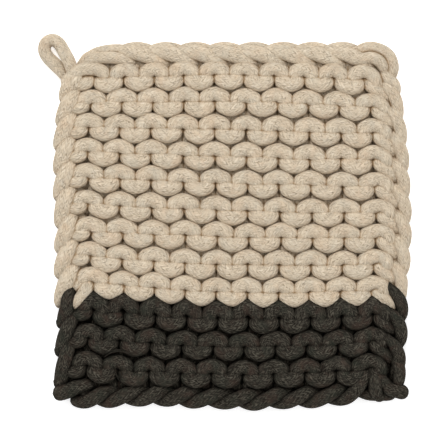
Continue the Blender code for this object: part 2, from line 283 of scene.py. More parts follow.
# Cords at the corners that follow no pattern, in millimetres from the knit's middle line and the
# cast-on edge, with heights over the floor and the cord's half width
Point = namedtuple("Point", "x y z half")
TOP_LEFT_OUTER = (
    Point(-86.5, 191.0, 7.0, 3.60),
    Point(-84.9, 195.4, 8.0, 3.60),
    Point(-82.6, 199.9, 8.6, 3.60),
    Point(-78.2, 203.9, 9.3, 3.60),
    Point(-70.8, 206.0, 10.0, 3.60),
    Point(-62.4, 206.3, 9.4, 3.60),
    Point(-56.6, 204.4, 7.6, 3.50),
    Point(-52.5, 200.5, 6.0, 3.40),
)
TOP_LEFT_INNER = (
    Point(-82.8, 196.0, 8.5, 3.50),
    Point(-80.3, 200.0, 11.0, 3.50),
    Point(-75.9, 201.8, 12.2, 3.50),
    Point(-69.1, 202.2, 12.5, 3.60),
    Point(-63.5, 201.6, 12.3, 3.60),
    Point(-58.8, 200.6, 11.0, 3.50),
    Point(-55.4, 199.2, 7.6, 3.40),
)
TOP_RIGHT_OUTER = (
    Point(66.5, 201.5, 6.5, 3.50),
    Point(72.4, 205.0, 8.6, 3.60),
    Point(76.2, 207.2, 9.3, 3.70),
    Point(80.7, 207.8, 9.6, 3.70),
    Point(86.2, 206.2, 9.6, 3.70),
    Point(90.0, 203.4, 9.6, 3.70),
    Point(91.7, 199.9, 9.6, 3.70),
    Point(92.2, 196.0, 9.2, 3.70),
    Point(90.6, 191.4, 7.6, 3.60),
    Point(87.5, 188.0, 6.0, 3.50),
)
TOP_RIGHT_INNER = (
    Point(62.0, 204.6, 10.8, 3.50),
    Point(65.6, 203.4, 12.0, 3.50),
    Point(70.5, 201.4, 12.5, 3.60),
    Point(75.0, 201.3, 12.6, 3.60),
    Point(79.6, 202.0, 12.6, 3.60),
    Point(83.6, 200.6, 12.2, 3.60),
    Point(86.4, 197.6, 11.0, 3.50),
    Point(87.4, 194.0, 8.6, 3.40),
)
LEFT_KNOT = (
    Point(-102.0, 10.2, 8.4, 4.30),
    Point(-98.0, 10.8, 8.8, 4.60),
    Point(-93.0, 12.2, 9.8, 4.50),
    Point(-87.5, 14.6, 10.4, 4.20),
    Point(-82.5, 15.4, 9.0, 3.90),
    Point(-79.0, 14.4, 6.0, 3.70),
)
LEFT_UNDER = (
    Point(-92.0, 15.0, 5.2, 3.90),
    Point(-90.0, 20.0, 5.2, 3.90),
    Point(-85.5, 27.0, 5.2, 3.90),
    Point(-82.6, 35.0, 5.2, 3.90),
    Point(-82.0, 43.0, 5.2, 3.70),
)
ROPE_UNDER = (
    Point(-91.0, 9.5, 5.0, 3.80),
    Point(-86.0, 10.6, 4.8, 3.90),
    Point(-79.0, 14.0, 4.8, 3.90),
    Point(-72.5, 16.6, 4.8, 3.90),
    Point(-65.0, 17.5, 4.8, 3.70),
)
RIGHT_SIDE_UNDER = (
    Point(87.0, 18.0, 5.2, 3.70),
    Point(89.0, 27.0, 5.2, 3.90),
    Point(86.5, 36.0, 5.2, 3.90),
    Point(82.5, 43.0, 5.2, 3.90),
    Point(80.8, 49.5, 5.2, 3.90),
    Point(81.0, 57.0, 5.2, 3.70),
)
RIGHT_UPRIGHT = (
    Point(81.4, 24.0, 8.0, 3.60),
    Point(81.8, 20.4, 11.6, 3.90),
    Point(82.1, 16.0, 12.5, 4.10),
    Point(82.7, 12.2, 11.4, 4.00),
    Point(84.3, 9.3, 8.6, 3.70),
    Point(87.5, 8.6, 5.6, 3.60),
)
RIGHT_RISE = (
    Point(66.5, 8.3, 10.8, 3.80),
    Point(70.2, 11.6, 12.2, 3.90),
    Point(73.6, 16.0, 12.4, 3.90),
    Point(76.4, 20.6, 11.2, 3.80),
    Point(78.0, 24.5, 8.0, 3.60),
)
RIGHT_UNDER = (
    Point(69.5, 17.5, 4.6, 3.50),
    Point(71.5, 14.2, 5.2, 3.60),
    Point(74.2, 11.8, 6.0, 3.70),
    Point(78.0, 10.2, 6.8, 3.70),
    Point(82.0, 9.7, 7.0, 3.70),
    Point(86.8, 9.7, 7.0, 3.70),
    Point(90.5, 9.8, 6.8, 3.60),
    Point(94.5, 11.0, 6.4, 3.50),
)
RIGHT_KNOT = (
    Point(86.4, 14.2, 9.0, 3.60),
    Point(89.5, 13.6, 11.0, 3.90),
    Point(94.0, 12.4, 11.2, 4.20),
    Point(98.0, 11.3, 10.2, 4.30),
    Point(101.2, 10.6, 9.0, 4.20),
)
RIGHT_FOOT = (
    Point(93.6, 33.0, 7.4, 3.50),
    Point(94.9, 28.6, 10.6, 3.60),
    Point(96.0, 24.0, 11.6, 3.60),
    Point(95.8, 19.4, 11.2, 3.60),
    Point(94.6, 14.0, 8.0, 3.50),
)

# Fibres pulled loose from the charcoal cord near its left side
LOOSE_FIBRES = (
    (
        Point(-72.6, 31.2, 13.6, 0.35),
        Point(-68.6, 34.0, 15.8, 0.45),
        Point(-63.9, 35.0, 16.2, 0.45),
        Point(-59.4, 34.2, 15.8, 0.45),
        Point(-55.2, 31.8, 13.8, 0.35),
    ),
    (
        Point(-73.6, 32.6, 13.6, 0.35),
        Point(-67.8, 35.2, 15.4, 0.50),
        Point(-62.2, 35.6, 15.6, 0.50),
        Point(-57.2, 33.4, 13.8, 0.35),
    ),
    (
        Point(-66.4, 24.2, 14.8, 0.40),
        Point(-64.9, 21.0, 15.4, 0.50),
        Point(-63.2, 17.6, 13.0, 0.40),
    ),
    (
        Point(-62.4, 23.4, 14.8, 0.40),
        Point(-62.6, 20.6, 15.0, 0.50),
        Point(-63.4, 17.2, 13.0, 0.40),
    ),
)

# A leg of the cast-on, from the rope up to the first row
CAST_ON_LEG = (
    Bend(0.000, -0.860, -0.50, 4.40, 2.60),
    Bend(0.000, -0.600, -0.65, 4.60, 2.60),
    Bend(0.000, -0.250, -0.60, 4.40, 2.60),
    Bend(0.000, 0.150, -0.70, 4.40, 2.60),
)

# The cast-on rope: two strands that swing round each other, half a turn for each lobe of its
# lower outline. One row for each lobe, in millimetres: its middle, from the knit's middle line,
# and the height of its lowest point above the cast-on edge.
Lobe = namedtuple("Lobe", "x low")
ROPE_LOBES = (
    Lobe(-84.4, 1.7),
    Lobe(-70.0, 2.0),
    Lobe(-52.6, 2.8),
    Lobe(-37.6, 2.8),
    Lobe(-22.5, 1.7),
    Lobe(-4.8, 1.2),
    Lobe(12.6, 0.4),
    Lobe(29.6, 1.3),
    Lobe(45.9, 1.8),
    Lobe(63.0, 3.3),
)
ROPE_LOBE = 16.7 * MM  # from lobe to lobe past both ends
ROPE_ACROSS = 2.7 * MM  # how far a strand swings in the plane of the knit
ROPE_DEEP = 3.7 * MM  # and through its thickness
ROPE_HALF = 4.15 * MM  # half a strand's width
ROPE_SPANS = ((-0.45, 9.50), (-0.15, 9.00))  # where each strand starts and ends, in lobes
ROPE_STEPS = 8  # in each lobe

# The hanging loop's centre line: the same route as the solid's, carried on into the corner
LOOP_ROUTE = (
    Point(-89.8, 190.5, 8.6, 3.60),
    Point(-90.9, 195.8, 10.4, 3.60),
    Point(-92.6, 200.5, 10.6, 3.70),
    Point(-94.0, 203.1, 10.1, 3.70),
    Point(-95.9, 206.6, 9.2, 3.70),
    Point(-98.5, 210.6, 7.8, 3.70),
    Point(-102.2, 212.6, 6.6, 3.70),
    Point(-105.9, 210.9, 5.8, 3.70),
    Point(-106.9, 207.0, 5.3, 3.70),
    Point(-105.0, 203.0, 5.0, 3.75),
    Point(-101.4, 199.4, 4.7, 3.90),
    Point(-96.5, 194.6, 4.4, 3.80),
    Point(-92.6, 189.8, 4.6, 3.60),
)

# How uneven the hand knitting is
UNEVEN_U = 0.026  # wales
UNEVEN_V = 0.030  # ridges
UNEVEN_RISE = 0.03  # of CREST
UNEVEN_CORD = 0.045  # share of the cord's width
SEED = 23
CAST_ON_SEED = SEED + 40
BIND_OFF_SEED = SEED + 50
LOOP_SEED = SEED + 60

# Rings over which the open ends of the cords are rounded off
RIDGE_END = 2
FIBRE_END = 2
CHAIN_END = 3
LOOP_END = 3
KNOT_END = 4
ROPE_END = 5
END_LEAST = 0.003  # square of the share of its width that a rounded cord's very end keeps

# The cords' meshes
RING_SPACING = 1.0 * MM
SIDES = 16
RING_ANGLES = 2 * np.pi * np.arange(SIDES) / SIDES
CURVE_STEPS = 6  # samples of the smooth route between two bends
UPWARDS = (0.0, 0.0, 1.0)
RIGHTWARDS = (1.0, 0.0, 0.0)
FILLED = (0.3, 0.6, 0.88)  # shares of its radius at which a cord's inside counts as filled
HOLLOW_REACH = 2.6 * MM  # how far off a cord's surface the knit's closeness is felt, for its painted shade

# The bake map: the cords lie end to end in strips, and all end caps share one tiny place
STRIP_MARGIN = 0.04  # share of a strip's width that is left free on either side
STRIP_GAP = 1.5 * RING_SPACING  # length that is left free at its end
STRIP_ROUNDING = 1e-9  # metres of rounding that start no new strip
CAP_PLACE = (0.5, 0.001)
CAP_RADIUS = 0.0005


# Places

def ridge_value(field, at):
    """A column of the ridges' table in metres, at any heights in ridges."""
    lines = (CAST_ON_LINE, *RIDGES, BIND_OFF_LINE)
    column = np.array([getattr(line, field) for line in lines]) * MM
    return np.interp(at, np.arange(-1, len(RIDGES) + 1), column)


def seam_height(u, v):
    """How far above the cast-on edge a place lies, by a parabola through each seam's heights."""
    share = np.clip(u, STITCHES_START, STITCHES_END) / (STITCHES - 1)
    left = (2 * share - 1) * (share - 1)
    middle = 4 * share * (1 - share)
    right = share * (2 * share - 1)
    height = left * ridge_value("seam_left", v)
    height += middle * ridge_value("seam_middle", v) + right * ridge_value("seam_right", v)
    return height + (v - np.clip(v, -1, len(RIDGES))) * RIDGE_PITCH


def knit_to_world(bends):
    """Turns rows of u, v, rise, wide and thick into metres in the frame."""
    u, v, rise, wide, thick = np.asarray(bends, float).T
    first = ridge_value("first", v)
    pitch = ridge_value("pitch", v)
    start = first + STITCHES_START * pitch
    end = first + STITCHES_END * pitch
    past_start = (STITCHES_START - u) / SELVEDGE
    past_end = (u - STITCHES_END) / SELVEDGE
    x = first + u * pitch
    x = np.where(past_start > 0, start + (ridge_value("left", v) - start) * past_start, x)
    x = np.where(past_end > 0, end + (ridge_value("right", v) - end) * past_end, x)
    y = seam_height(u, v)
    z = MIDDLE_HEIGHT + rise * CREST
    return np.column_stack((x + MIDDLE_X, y + EDGE_Y, z, wide * MM, thick * MM))


def placed(points):
    """Turns a route of Points into metres in the frame."""
    x, y, z, half = np.array(points).T * MM
    return np.column_stack((x + MIDDLE_X, y + EDGE_Y, z, half, half))


# Cords

def smooth(points, closed):
    """The smooth curve through points, as a denser list with the same columns."""
    points = np.asarray(points, float)
    if closed:
        padded = np.vstack((points[-1:], points, points[:2]))
    else:
        padded = np.vstack((2 * points[0] - points[1], points, 2 * points[-1] - points[-2]))
    spans = len(padded) - 3
    before, start, stop, after = (padded[i : i + spans, None, :] for i in range(4))
    part = (np.arange(CURVE_STEPS) / CURVE_STEPS)[None, :, None]
    curve = (
        start * 2
        + (stop - before) * part
        + (before * 2 - start * 5 + stop * 4 - after) * part**2
        + (start * 3 - before - stop * 3 + after) * part**3
    ) / 2
    curve = curve.reshape(-1, points.shape[1])
    if not closed:
        curve = np.vstack((curve, points[-1:]))
    return curve


def evenly(curve, closed):
    """The curve with its points RING_SPACING apart, the length up to each, and its whole length."""
    if closed:
        curve = np.vstack((curve, curve[:1]))
    steps = np.linalg.norm(np.diff(curve[:, :3], axis=0), axis=1)
    length = np.concatenate(([0.0], np.cumsum(steps)))
    count = round(length[-1] / RING_SPACING)
    wanted = np.linspace(0, length[-1], count + 1)
    if closed:
        wanted = wanted[:-1]
    columns = [np.interp(wanted, length, column) for column in curve.T]
    return np.column_stack(columns), wanted, length[-1]


def cord_axes(centre, closed, reference):
    """The directions across and over a cord at each ring. The second is as near to the reference
    direction as it can be, or to its opposite past a place where the cord turns back."""
    if closed:
        tangent = np.roll(centre, -1, axis=0) - np.roll(centre, 1, axis=0)
    else:
        tangent = np.gradient(centre, axis=0)
    tangent /= np.linalg.norm(tangent, axis=1)[:, None]
    over = reference - tangent * (tangent @ reference)[:, None]
    over /= np.linalg.norm(over, axis=1)[:, None]
    turned_back = (over[1:] * over[:-1]).sum(axis=1) < 0
    over[1:] *= np.cumprod(np.where(turned_back, -1.0, 1.0))[:, None]
    return np.cross(tangent, over), over


def rounded_ends(rings, taper):
    """The share of its width that a cord has at each ring, with both ends rounded off."""
    ring = np.arange(rings)
    inside = np.clip(np.minimum(ring, ring[::-1]) / taper, 0, 1)
    return np.sqrt(np.clip(1 - (1 - inside) ** 2, END_LEAST, 1))


class Packing:
    """How closely the cords fill the space round any place, from 0 in the open to 1: a blurred
    grid of filled and empty voxels, from which the cottons get their painted shade."""

    voxel = 1.0 * MM
    blur = 1.9 * MM
    margin = 12.0 * MM  # of open space round the cords

    def __init__(self, cores):
        cores = np.vstack(cores)
        self.low = cores.min(axis=0) - self.margin
        size = np.ceil((cores.max(axis=0) + self.margin - self.low) / self.voxel).astype(int)
        cells = ((cores - self.low) / self.voxel).astype(int)
        filled = np.zeros(size, bool)
        filled[tuple(cells.T)] = True
        spectrum = np.fft.rfftn(filled.astype(float))
        waves = [np.fft.fftfreq(count, self.voxel) for count in size[:2]]
        waves.append(np.fft.rfftfreq(size[2], self.voxel))
        for wave in np.meshgrid(*waves, indexing="ij", sparse=True):
            spectrum = spectrum * np.exp(-2 * (np.pi * self.blur * wave) ** 2)
        self.density = np.fft.irfftn(spectrum, filled.shape, axes=(0, 1, 2))

    def at(self, places):
        """The density at each place."""
        cells = (places - self.low) / self.voxel - 0.5
        base = np.floor(cells).astype(int)
        part = cells - base
        value = np.zeros(len(places))
        for corner in np.ndindex(2, 2, 2):
            index = np.clip(base + corner, 0, np.array(self.density.shape) - 1)
            weight = np.prod(np.where(corner, part, 1 - part), axis=1)
            value += weight * self.density[tuple(index.T)]
        return value


# A tube of a CordMesh: its first vertex, its number of rings, how far along it each ring lies, its
# whole length, and whether it is a closed ring
Run = namedtuple("Run", "first rings along total closed")


class CordMesh:
    """Collects tubes of cord and makes one mesh of them."""

    def __init__(self, seed):
        self.places = []
        self.outward = []
        self.cores = []
        self.straight = []
        self.runs = []
        self.count = 0
        self.random = random.Random(seed)

    def add(self, route, closed=False, reference=UPWARDS, taper=0):
        """A tube along a route of x, y, z, half width and half thickness in metres. Its thickness
        is measured towards the reference direction, and its open ends are rounded off over taper
        rings."""
        rings, along, total = evenly(smooth(route, closed), closed)
        side, up = cord_axes(rings[:, :3], closed, np.array(reference))
        wide, thick = rings[:, 3], rings[:, 4]
        if taper:
            share = rounded_ends(len(rings), taper)
            wide, thick = wide * share, thick * share
        centre = rings[:, None, :3]
        across = np.cos(RING_ANGLES)[None, :, None] * side[:, None, :] * wide[:, None, None]
        over = np.sin(RING_ANGLES)[None, :, None] * up[:, None, :] * thick[:, None, None]
        self.places.append((centre + across + over).reshape(-1, 3))
        self.cores += [(centre + (across + over) * part).reshape(-1, 3) for part in FILLED]
        outward = across + over
        outward /= np.linalg.norm(outward, axis=2)[:, :, None]
        self.outward.append(outward.reshape(-1, 3))
        self.straight.append(self.straightened(along))
        self.runs.append(Run(self.count, len(rings), along, total, closed))
        self.count += len(rings) * SIDES

    def straightened(self, along):
        """Where the rings would lie on a round and straight cord, from a random place along it."""
        start = self.random.uniform(0, 1)
        radius = CORD / 2
        straight = np.empty((len(along), SIDES, 3))
        straight[:, :, 0] = np.cos(RING_ANGLES) * radius
        straight[:, :, 1] = np.sin(RING_ANGLES) * radius
        straight[:, :, 2] = (along + start)[:, None]
        return straight.reshape(-1, 3)

    def bands(self):
        """The four-sided faces of all tubes."""
        faces = []
        side = np.arange(SIDES)
        beside = (side + 1) % SIDES
        for run in self.runs:
            ring = np.arange(run.rings if run.closed else run.rings - 1)
            low = run.first + ring[:, None] * SIDES
            high = run.first + (ring[:, None] + 1) % run.rings * SIDES
            corners = (high + side, high + beside, low + beside, low + side)
            faces.append(np.stack(corners, axis=-1).reshape(-1, 4))
        return np.vstack(faces).tolist()

    def caps(self):
        """A face over each open end."""
        faces = []
        for run in self.runs:
            if not run.closed:
                last = run.first + (run.rings - 1) * SIDES
                faces.append(list(range(run.first, run.first + SIDES)))
                faces.append(list(range(last + SIDES - 1, last - 1, -1)))
        return faces

    def bake_map(self, cap_count):
        """The corners of the bands, and then of the caps, in the bake map."""
        whole = sum(run.total for run in self.runs)
        strips = math.ceil(math.sqrt(whole / (math.pi * CORD)))
        strip_length = whole / strips + STRIP_GAP
        edges = STRIP_MARGIN + (1 - 2 * STRIP_MARGIN) * np.arange(SIDES + 1) / SIDES
        corners = []
        done = 0.0
        for run in self.runs:
            ends = np.append(run.along, run.total) if run.closed else run.along
            begin = done + ends[:-1]
            finish = done + ends[1:]
            strip = np.floor(begin / (whole / strips + STRIP_ROUNDING))
            height = (strip[:, None] + edges) / strips
            bottom, top = height[:, :-1], height[:, 1:]
            left, right = (
                np.broadcast_to((end - strip * whole / strips)[:, None] / strip_length, top.shape)
                for end in (begin, finish)
            )
            order = ((right, bottom), (right, top), (left, top), (left, bottom))
            corners.append(np.stack([np.stack(pair, -1) for pair in order], -2).reshape(-1, 2))
            done += run.total
        ring = np.column_stack((np.cos(RING_ANGLES), np.sin(RING_ANGLES)))
        corners.append(np.tile(ring * CAP_RADIUS + CAP_PLACE, (cap_count, 1)))
        return np.vstack(corners)

    def make(self, name, material, packing):
        """The object of all tubes, with where each place lies on a straight cord, how deep it
        lies in the knit, which the material turns into painted shade, and a bake map."""
        places = np.vstack(self.places)
        # the knit's closeness round each place, which the material turns into painted shade
        painted_shade_closeness = packing.at(places + np.vstack(self.outward) * HOLLOW_REACH)
        places[:, 2] = np.maximum(places[:, 2], 0.0)  # pressed flat where it rests
        caps = self.caps()
        mesh = bpy.data.meshes.new(name)
        mesh.from_pydata(places.tolist(), [], self.bands() + caps)
        mesh.update()
        straight = mesh.attributes.new("cord", "FLOAT_VECTOR", "POINT")
        straight.data.foreach_set("vector", np.vstack(self.straight).astype(np.float32).ravel())
        depth = mesh.attributes.new("painted_shade_closeness", "FLOAT", "POINT")
        depth.data.foreach_set("value", painted_shade_closeness.astype(np.float32))
        layer = mesh.uv_layers.new(name="OFBake")
        layer.data.foreach_set("uv", self.bake_map(len(caps)).astype(np.float32).ravel())
        mesh.shade_smooth()
        mesh.materials.append(material)
        made = bpy.data.objects.new(name, mesh)
        bpy.context.scene.collection.objects.link(made)
        return made


# Materials

# A noise: its scale, and its detail in octaves
Grain = namedtuple("Grain", "scale detail")
GRAIN_ROUGHNESS = 0.6


class Nodes:
    """A new material's shader nodes, and short ways to add and join them."""

    def __init__(self, name):
        self.material = bpy.data.materials.new(name)
        self.material.use_nodes = True
        self.tree = self.material.node_tree
        self.surface = self.tree.nodes["Principled BSDF"].inputs

    def add(self, kind, **settings):
        """A new node with its settings."""
        node = self.tree.nodes.new(kind)
        for name, value in settings.items():
            setattr(node, name, value)
        return node

    def feed(self, entry, value):
        """Joins an output to an entry, or sets the entry to a number or a colour."""
        if isinstance(value, (int, float)):
            entry.default_value = value
        elif isinstance(value, tuple):
            entry.default_value = (*value, 1.0)
        else:
            self.tree.links.new(value, entry)

    def math(self, operation, *values):
        """What an operation makes of outputs and numbers."""
        node = self.add("ShaderNodeMath", operation=operation)
        for entry, value in zip(node.inputs, values):
            self.feed(entry, value)
        return node.outputs[0]

    def noise(self, place, grain):
        """Noise from 0 to 1."""
        node = self.add("ShaderNodeTexNoise")
        entries = ("Vector", "Scale", "Detail", "Roughness")
        for entry, value in zip(entries, (place, *grain, GRAIN_ROUGHNESS)):
            self.feed(node.inputs[entry], value)
        return node.outputs["Fac"]

    def stretched(self, place, scale):
        """A place multiplied by three numbers."""
        node = self.add("ShaderNodeVectorMath", operation="MULTIPLY")
        self.feed(node.inputs[0], place)
        node.inputs[1].default_value = scale
        return node.outputs[0]

    def spread(self, value, span, top=1.0):
        """The value's way through a span, as 0 to top."""
        node = self.add("ShaderNodeMapRange")
        entries = (node.inputs[0], node.inputs[1], node.inputs[2], node.inputs[4])
        for entry, number in zip(entries, (value, *span, top)):
            self.feed(entry, number)
        return node.outputs[0]

    def ramp(self, value, stops):
        """A colour for each value, from stops of a value and a colour."""
        node = self.add("ShaderNodeValToRGB")
        self.feed(node.inputs[0], value)
        elements = node.color_ramp.elements
        while len(elements) < len(stops):
            elements.new(0.5)
        for element, (position, colour) in zip(elements, stops):
            element.position = position
            element.color = (*colour, 1.0)
        return node.outputs[0]

    def mix(self, share, first, second, blend="MIX"):
        """Two colours mixed, with a share of the second."""
        node = self.add("ShaderNodeMix", data_type="RGBA", blend_type=blend)
        entries = (node.inputs[0], node.inputs[6], node.inputs[7])  # the share and the colours
        for entry, value in zip(entries, (share, first, second)):
            self.feed(entry, value)
        return node.outputs[2]


# A cotton's look: its colour from low, painted shade between the plies, to high, painted light on
# the fibres that stand out, the tints of its patches with their greatest share, its flecks with the
# noise over which they show, and the painted shade that multiplies the colour where the knit is
# closed, and not where it is open
Cotton = namedtuple("Cotton", "low middle high warm cool tinted fleck speckled shade open closed")
CREAM = Cotton(
    low=(0.440, 0.345, 0.240),
    middle=(0.675, 0.560, 0.415),
    high=(0.800, 0.700, 0.560),
    warm=(0.700, 0.500, 0.330),
    cool=(0.620, 0.580, 0.480),
    tinted=0.35,
    fleck=(0.190, 0.120, 0.065),
    speckled=0.665,
    shade=(0.58, 0.45, 0.31),
    open=0.32,
    closed=0.92,
)
CHARCOAL = Cotton(
    low=(0.010, 0.008, 0.006),
    middle=(0.033, 0.029, 0.023),
    high=(0.118, 0.106, 0.082),
    warm=(0.060, 0.038, 0.029),
    cool=(0.028, 0.032, 0.024),
    tinted=0.65,
    fleck=(0.120, 0.108, 0.086),
    speckled=0.700,
    shade=(0.10, 0.09, 0.07),
    open=0.06,
    closed=0.60,
)

# The braid that both cottons share, in millimetres along and round the cord
CHEVRONS = 10  # round the cord
PLY = 2.3  # from ply to ply along the cord
PLY_SLOPE = 5.0  # how far along the cord a ply would run across a whole chevron
PLY_STRAY = 2.0  # how far the wander moves the plies, in radians of their wave
PLY_ROUND = 0.6  # exponent that rounds their backs
WANDER = Grain(0.30, 2.0)
FIBRES = Grain(1.1, 2.5)
FIBRES_ACROSS = 1.3  # how much narrower than a chevron they are
FIBRES_ALONG = 0.16  # share of the way along the cord by which they change
FLUFF = Grain(0.75, 2.5)
PLY_RELIEF = 0.32  # shares of the three in the cord's relief
FIBRE_RELIEF = 0.95
FLUFF_RELIEF = 0.45
PAINTED_LIGHT_SPAN = (0.62, 1.22)  # of the relief, from the low colour, painted shade, to the high one, painted light
WARM_PATCHES = Grain(0.16, 4.0)
COOL_PATCHES = Grain(0.14, 4.0)
COOL_STRETCH = (-1.0, 1.0, 1.3)  # puts the cool patches elsewhere than the warm ones
PATCH_SPAN = (0.50, 0.72)
FLECKS = Grain(1.25, 1.0)
FLECK_STRETCH = (1.0, 1.0, 0.6)  # makes them longer along the cord
FLECK_EDGE = 0.07  # of the noise, from a fleck's rim to its middle
FLECK_MOST = 0.55  # share of its own colour that a fleck has at most
CREASE_REACH = 2.2 * MM  # how near another stretch of the same cord puts painted shade in a crease
CREASE_SAMPLES = 8
CREASE_SPAN = (0.85, 0.40)  # of openness, from a crease's rim to its depth
CREASE_MOST = 0.9
BUMP = 1.1 * MM
SHEEN = 0.04


def relief(nodes, cord):
    """The height of a cord's surface: chevrons of plies, the fibres along them, and fluff."""
    split = nodes.add("ShaderNodeSeparateXYZ")
    nodes.feed(split.inputs[0], cord)
    x, y, along = split.outputs
    wander = nodes.math("SUBTRACT", nodes.noise(cord, WANDER), 0.5)

    # the plies slope to and fro round the cord
    turn = nodes.math("ARCTAN2", y, x)
    chevron = nodes.math("MULTIPLY_ADD", turn, CHEVRONS / (2 * math.pi), wander)
    fold = nodes.math("ABSOLUTE", nodes.math("SUBTRACT", nodes.math("FRACT", chevron), 0.5))
    slant = nodes.math("MULTIPLY_ADD", fold, PLY_SLOPE, along)
    wave = nodes.math("MULTIPLY", slant, math.pi / PLY)
    wave = nodes.math("MULTIPLY_ADD", wander, PLY_STRAY, wave)
    plies = nodes.math("POWER", nodes.math("ABSOLUTE", nodes.math("SINE", wave)), PLY_ROUND)

    # the fibres are streaks, long along a ply and narrow across it
    streaks = nodes.add("ShaderNodeCombineXYZ")
    nodes.feed(streaks.inputs[0], nodes.math("MULTIPLY", chevron, FIBRES_ACROSS))
    nodes.feed(streaks.inputs[1], slant)
    nodes.feed(streaks.inputs[2], nodes.math("MULTIPLY", along, FIBRES_ALONG))
    fibres = nodes.noise(streaks.outputs[0], FIBRES)
    height = nodes.math("MULTIPLY", fibres, FIBRE_RELIEF)
    height = nodes.math("MULTIPLY_ADD", plies, PLY_RELIEF, height)
    return nodes.math("MULTIPLY_ADD", nodes.noise(cord, FLUFF), FLUFF_RELIEF, height)


def cotton_colour(nodes, cord, height, look):
    """The cotton's colour at a height of its relief, with painted shade low and painted light high,
    and its patches and flecks.
    """
    # the relief's low parts get painted shade and its high parts painted light
    painted_light_tone = nodes.spread(height, PAINTED_LIGHT_SPAN)
    colour = nodes.ramp(painted_light_tone, ((0.0, look.low), (0.5, look.middle), (1.0, look.high)))
    warmth = nodes.spread(nodes.noise(cord, WARM_PATCHES), PATCH_SPAN, look.tinted)
    colour = nodes.mix(warmth, colour, look.warm)
    elsewhere = nodes.stretched(cord, COOL_STRETCH)
    coolness = nodes.spread(nodes.noise(elsewhere, COOL_PATCHES), PATCH_SPAN, look.tinted)
    colour = nodes.mix(coolness, colour, look.cool)
    flecks = nodes.noise(nodes.stretched(cord, FLECK_STRETCH), FLECKS)
    flecked = nodes.spread(flecks, (look.speckled, look.speckled + FLECK_EDGE), FLECK_MOST)
    return nodes.mix(flecked, colour, look.fleck)


def with_painted_shade(nodes, colour, look):
    """The colour darkened as painted shade in the hollows of the knit and in a cord's creases."""
    # painted shade where the knit closes in round a place
    painted_shade_closeness = nodes.add("ShaderNodeAttribute", attribute_name="painted_shade_closeness").outputs["Fac"]
    hollow_shade_share = nodes.spread(painted_shade_closeness, (look.open, look.closed))
    # painted shade in a crease, from the cord's own occlusion
    crease = nodes.add("ShaderNodeAmbientOcclusion", samples=CREASE_SAMPLES, only_local=True)
    nodes.feed(crease.inputs["Distance"], CREASE_REACH)
    crease_shade_share = nodes.spread(crease.outputs["AO"], CREASE_SPAN, CREASE_MOST)
    share = nodes.math("MAXIMUM", hollow_shade_share, crease_shade_share)
    return nodes.mix(share, colour, nodes.mix(1.0, colour, look.shade, "MULTIPLY"))


def cotton(name, look):
    """Soft braided cotton cord."""
    nodes = Nodes(name)
    cord = nodes.add("ShaderNodeAttribute", attribute_name="cord").outputs["Vector"]
    cord = nodes.stretched(cord, (1 / MM, 1 / MM, 1 / MM))  # in millimetres
    height = relief(nodes, cord)
    colour = cotton_colour(nodes, cord, height, look)
    bump = nodes.add("ShaderNodeBump")
    nodes.feed(bump.inputs["Distance"], BUMP)
    nodes.feed(bump.inputs["Height"], height)
    # the base colour carries painted shade
    nodes.feed(nodes.surface["Base Color"], with_painted_shade(nodes, colour, look))
    nodes.feed(nodes.surface["Normal"], bump.outputs[0])
    nodes.feed(nodes.surface["Roughness"], 1.0)
    nodes.feed(nodes.surface["Specular IOR Level"], SHEEN)
    return nodes.material


# The knit

def moved(bend, u=0.0, v=0.0, mirror=1, back=False):
    """A bend shifted to a stitch, mirrored in u, or turned to the back face, as a list."""
    rise = -bend.rise if back else bend.rise
    return [u + mirror * bend.u, v + bend.v, rise, bend.wide, bend.thick]


def arc(shape, u, v, back, jitter, direction):
    """A whole head or sinker about u, from one leg to the other, a little uneven. It runs to the
    right with direction 1 and to the left with -1."""
    bends = [moved(bend, u, v, -direction, back) for bend in reversed(shape)]
    bends += [moved(bend, u, v, direction, back) for bend in shape[1:]]
    shift_u = jitter.uniform(-UNEVEN_U, UNEVEN_U)
    shift_v = jitter.uniform(-UNEVEN_V, UNEVEN_V)
    shift_rise = jitter.uniform(-UNEVEN_RISE, UNEVEN_RISE)
    size = 1 + jitter.uniform(-UNEVEN_CORD, UNEVEN_CORD)
    for bend in bends:
        bend[0] += shift_u
        bend[1] += shift_v
        bend[2] += shift_rise
        bend[3] *= size
        bend[4] *= size
    return bends


def row_with_heads(ridge, jitter):
    """The row to the right, with its heads on the face and its sinkers on the back, up to the top
    of the last head."""
    route = [moved(bend, v=ridge - 1) for bend in LEFT_TURN[-2:]]
    for stitch in range(STITCHES):
        head = arc(HEAD, stitch, ridge, False, jitter, 1)
        if ridge == CHANGE - 1:
            for bend in head:
                share = max(0.0, bend[1] - ridge) / HEAD[0].v
                bend[1] += CHANGE_HEADS_UP * share
                bend[3] *= 1 + (CHANGE_HEADS_WIDE - 1) * share
        if stitch == STITCHES - 1:
            return route + head[: len(HEAD)]
        if stitch == 0 and ridge == TOP:
            route = [moved(bend, v=ridge) for bend in TOP_FIRST_HEAD]
        else:
            route += head
        route.append(moved(LEG, stitch, ridge))
        route += arc(SINKER, stitch + 0.5, ridge - 0.5, True, jitter, 1)
        route.append(moved(LEG, stitch + 1, ridge, -1))


def right_turn(ridge):
    """The bends of the right selvedge beside a ridge."""
    bends = [moved(bend, STITCHES - 1, ridge) for bend in RIGHT_TURN]
    for bend in bends[BAR_START:BAR_END]:
        height = bend[1] - ridge
        if ridge < CHANGE:
            lift_share = min(1.0, CHARCOAL_LIFT_FADE * (CHARCOAL_LIFT_END - height))
            tip = max(0.0, height - CHARCOAL_TIP_START) / CHARCOAL_TIP_LENGTH
            bend[0] -= CHARCOAL_BAR_LEAN * max(0.0, height)
            bend[1] += CHARCOAL_BAR_LIFT * lift_share
            if bend[2] > 0:
                bend[2] += CHARCOAL_TIP_RISE * tip
            bend[3] *= 1 - CHARCOAL_TIP_THIN * tip
        if ridge == TOP:
            foot = RIGHT_TURN[BAR_START].v
            bend[1] = ridge + foot + (height - foot) * TOP_BAR_SHORT
    return bends


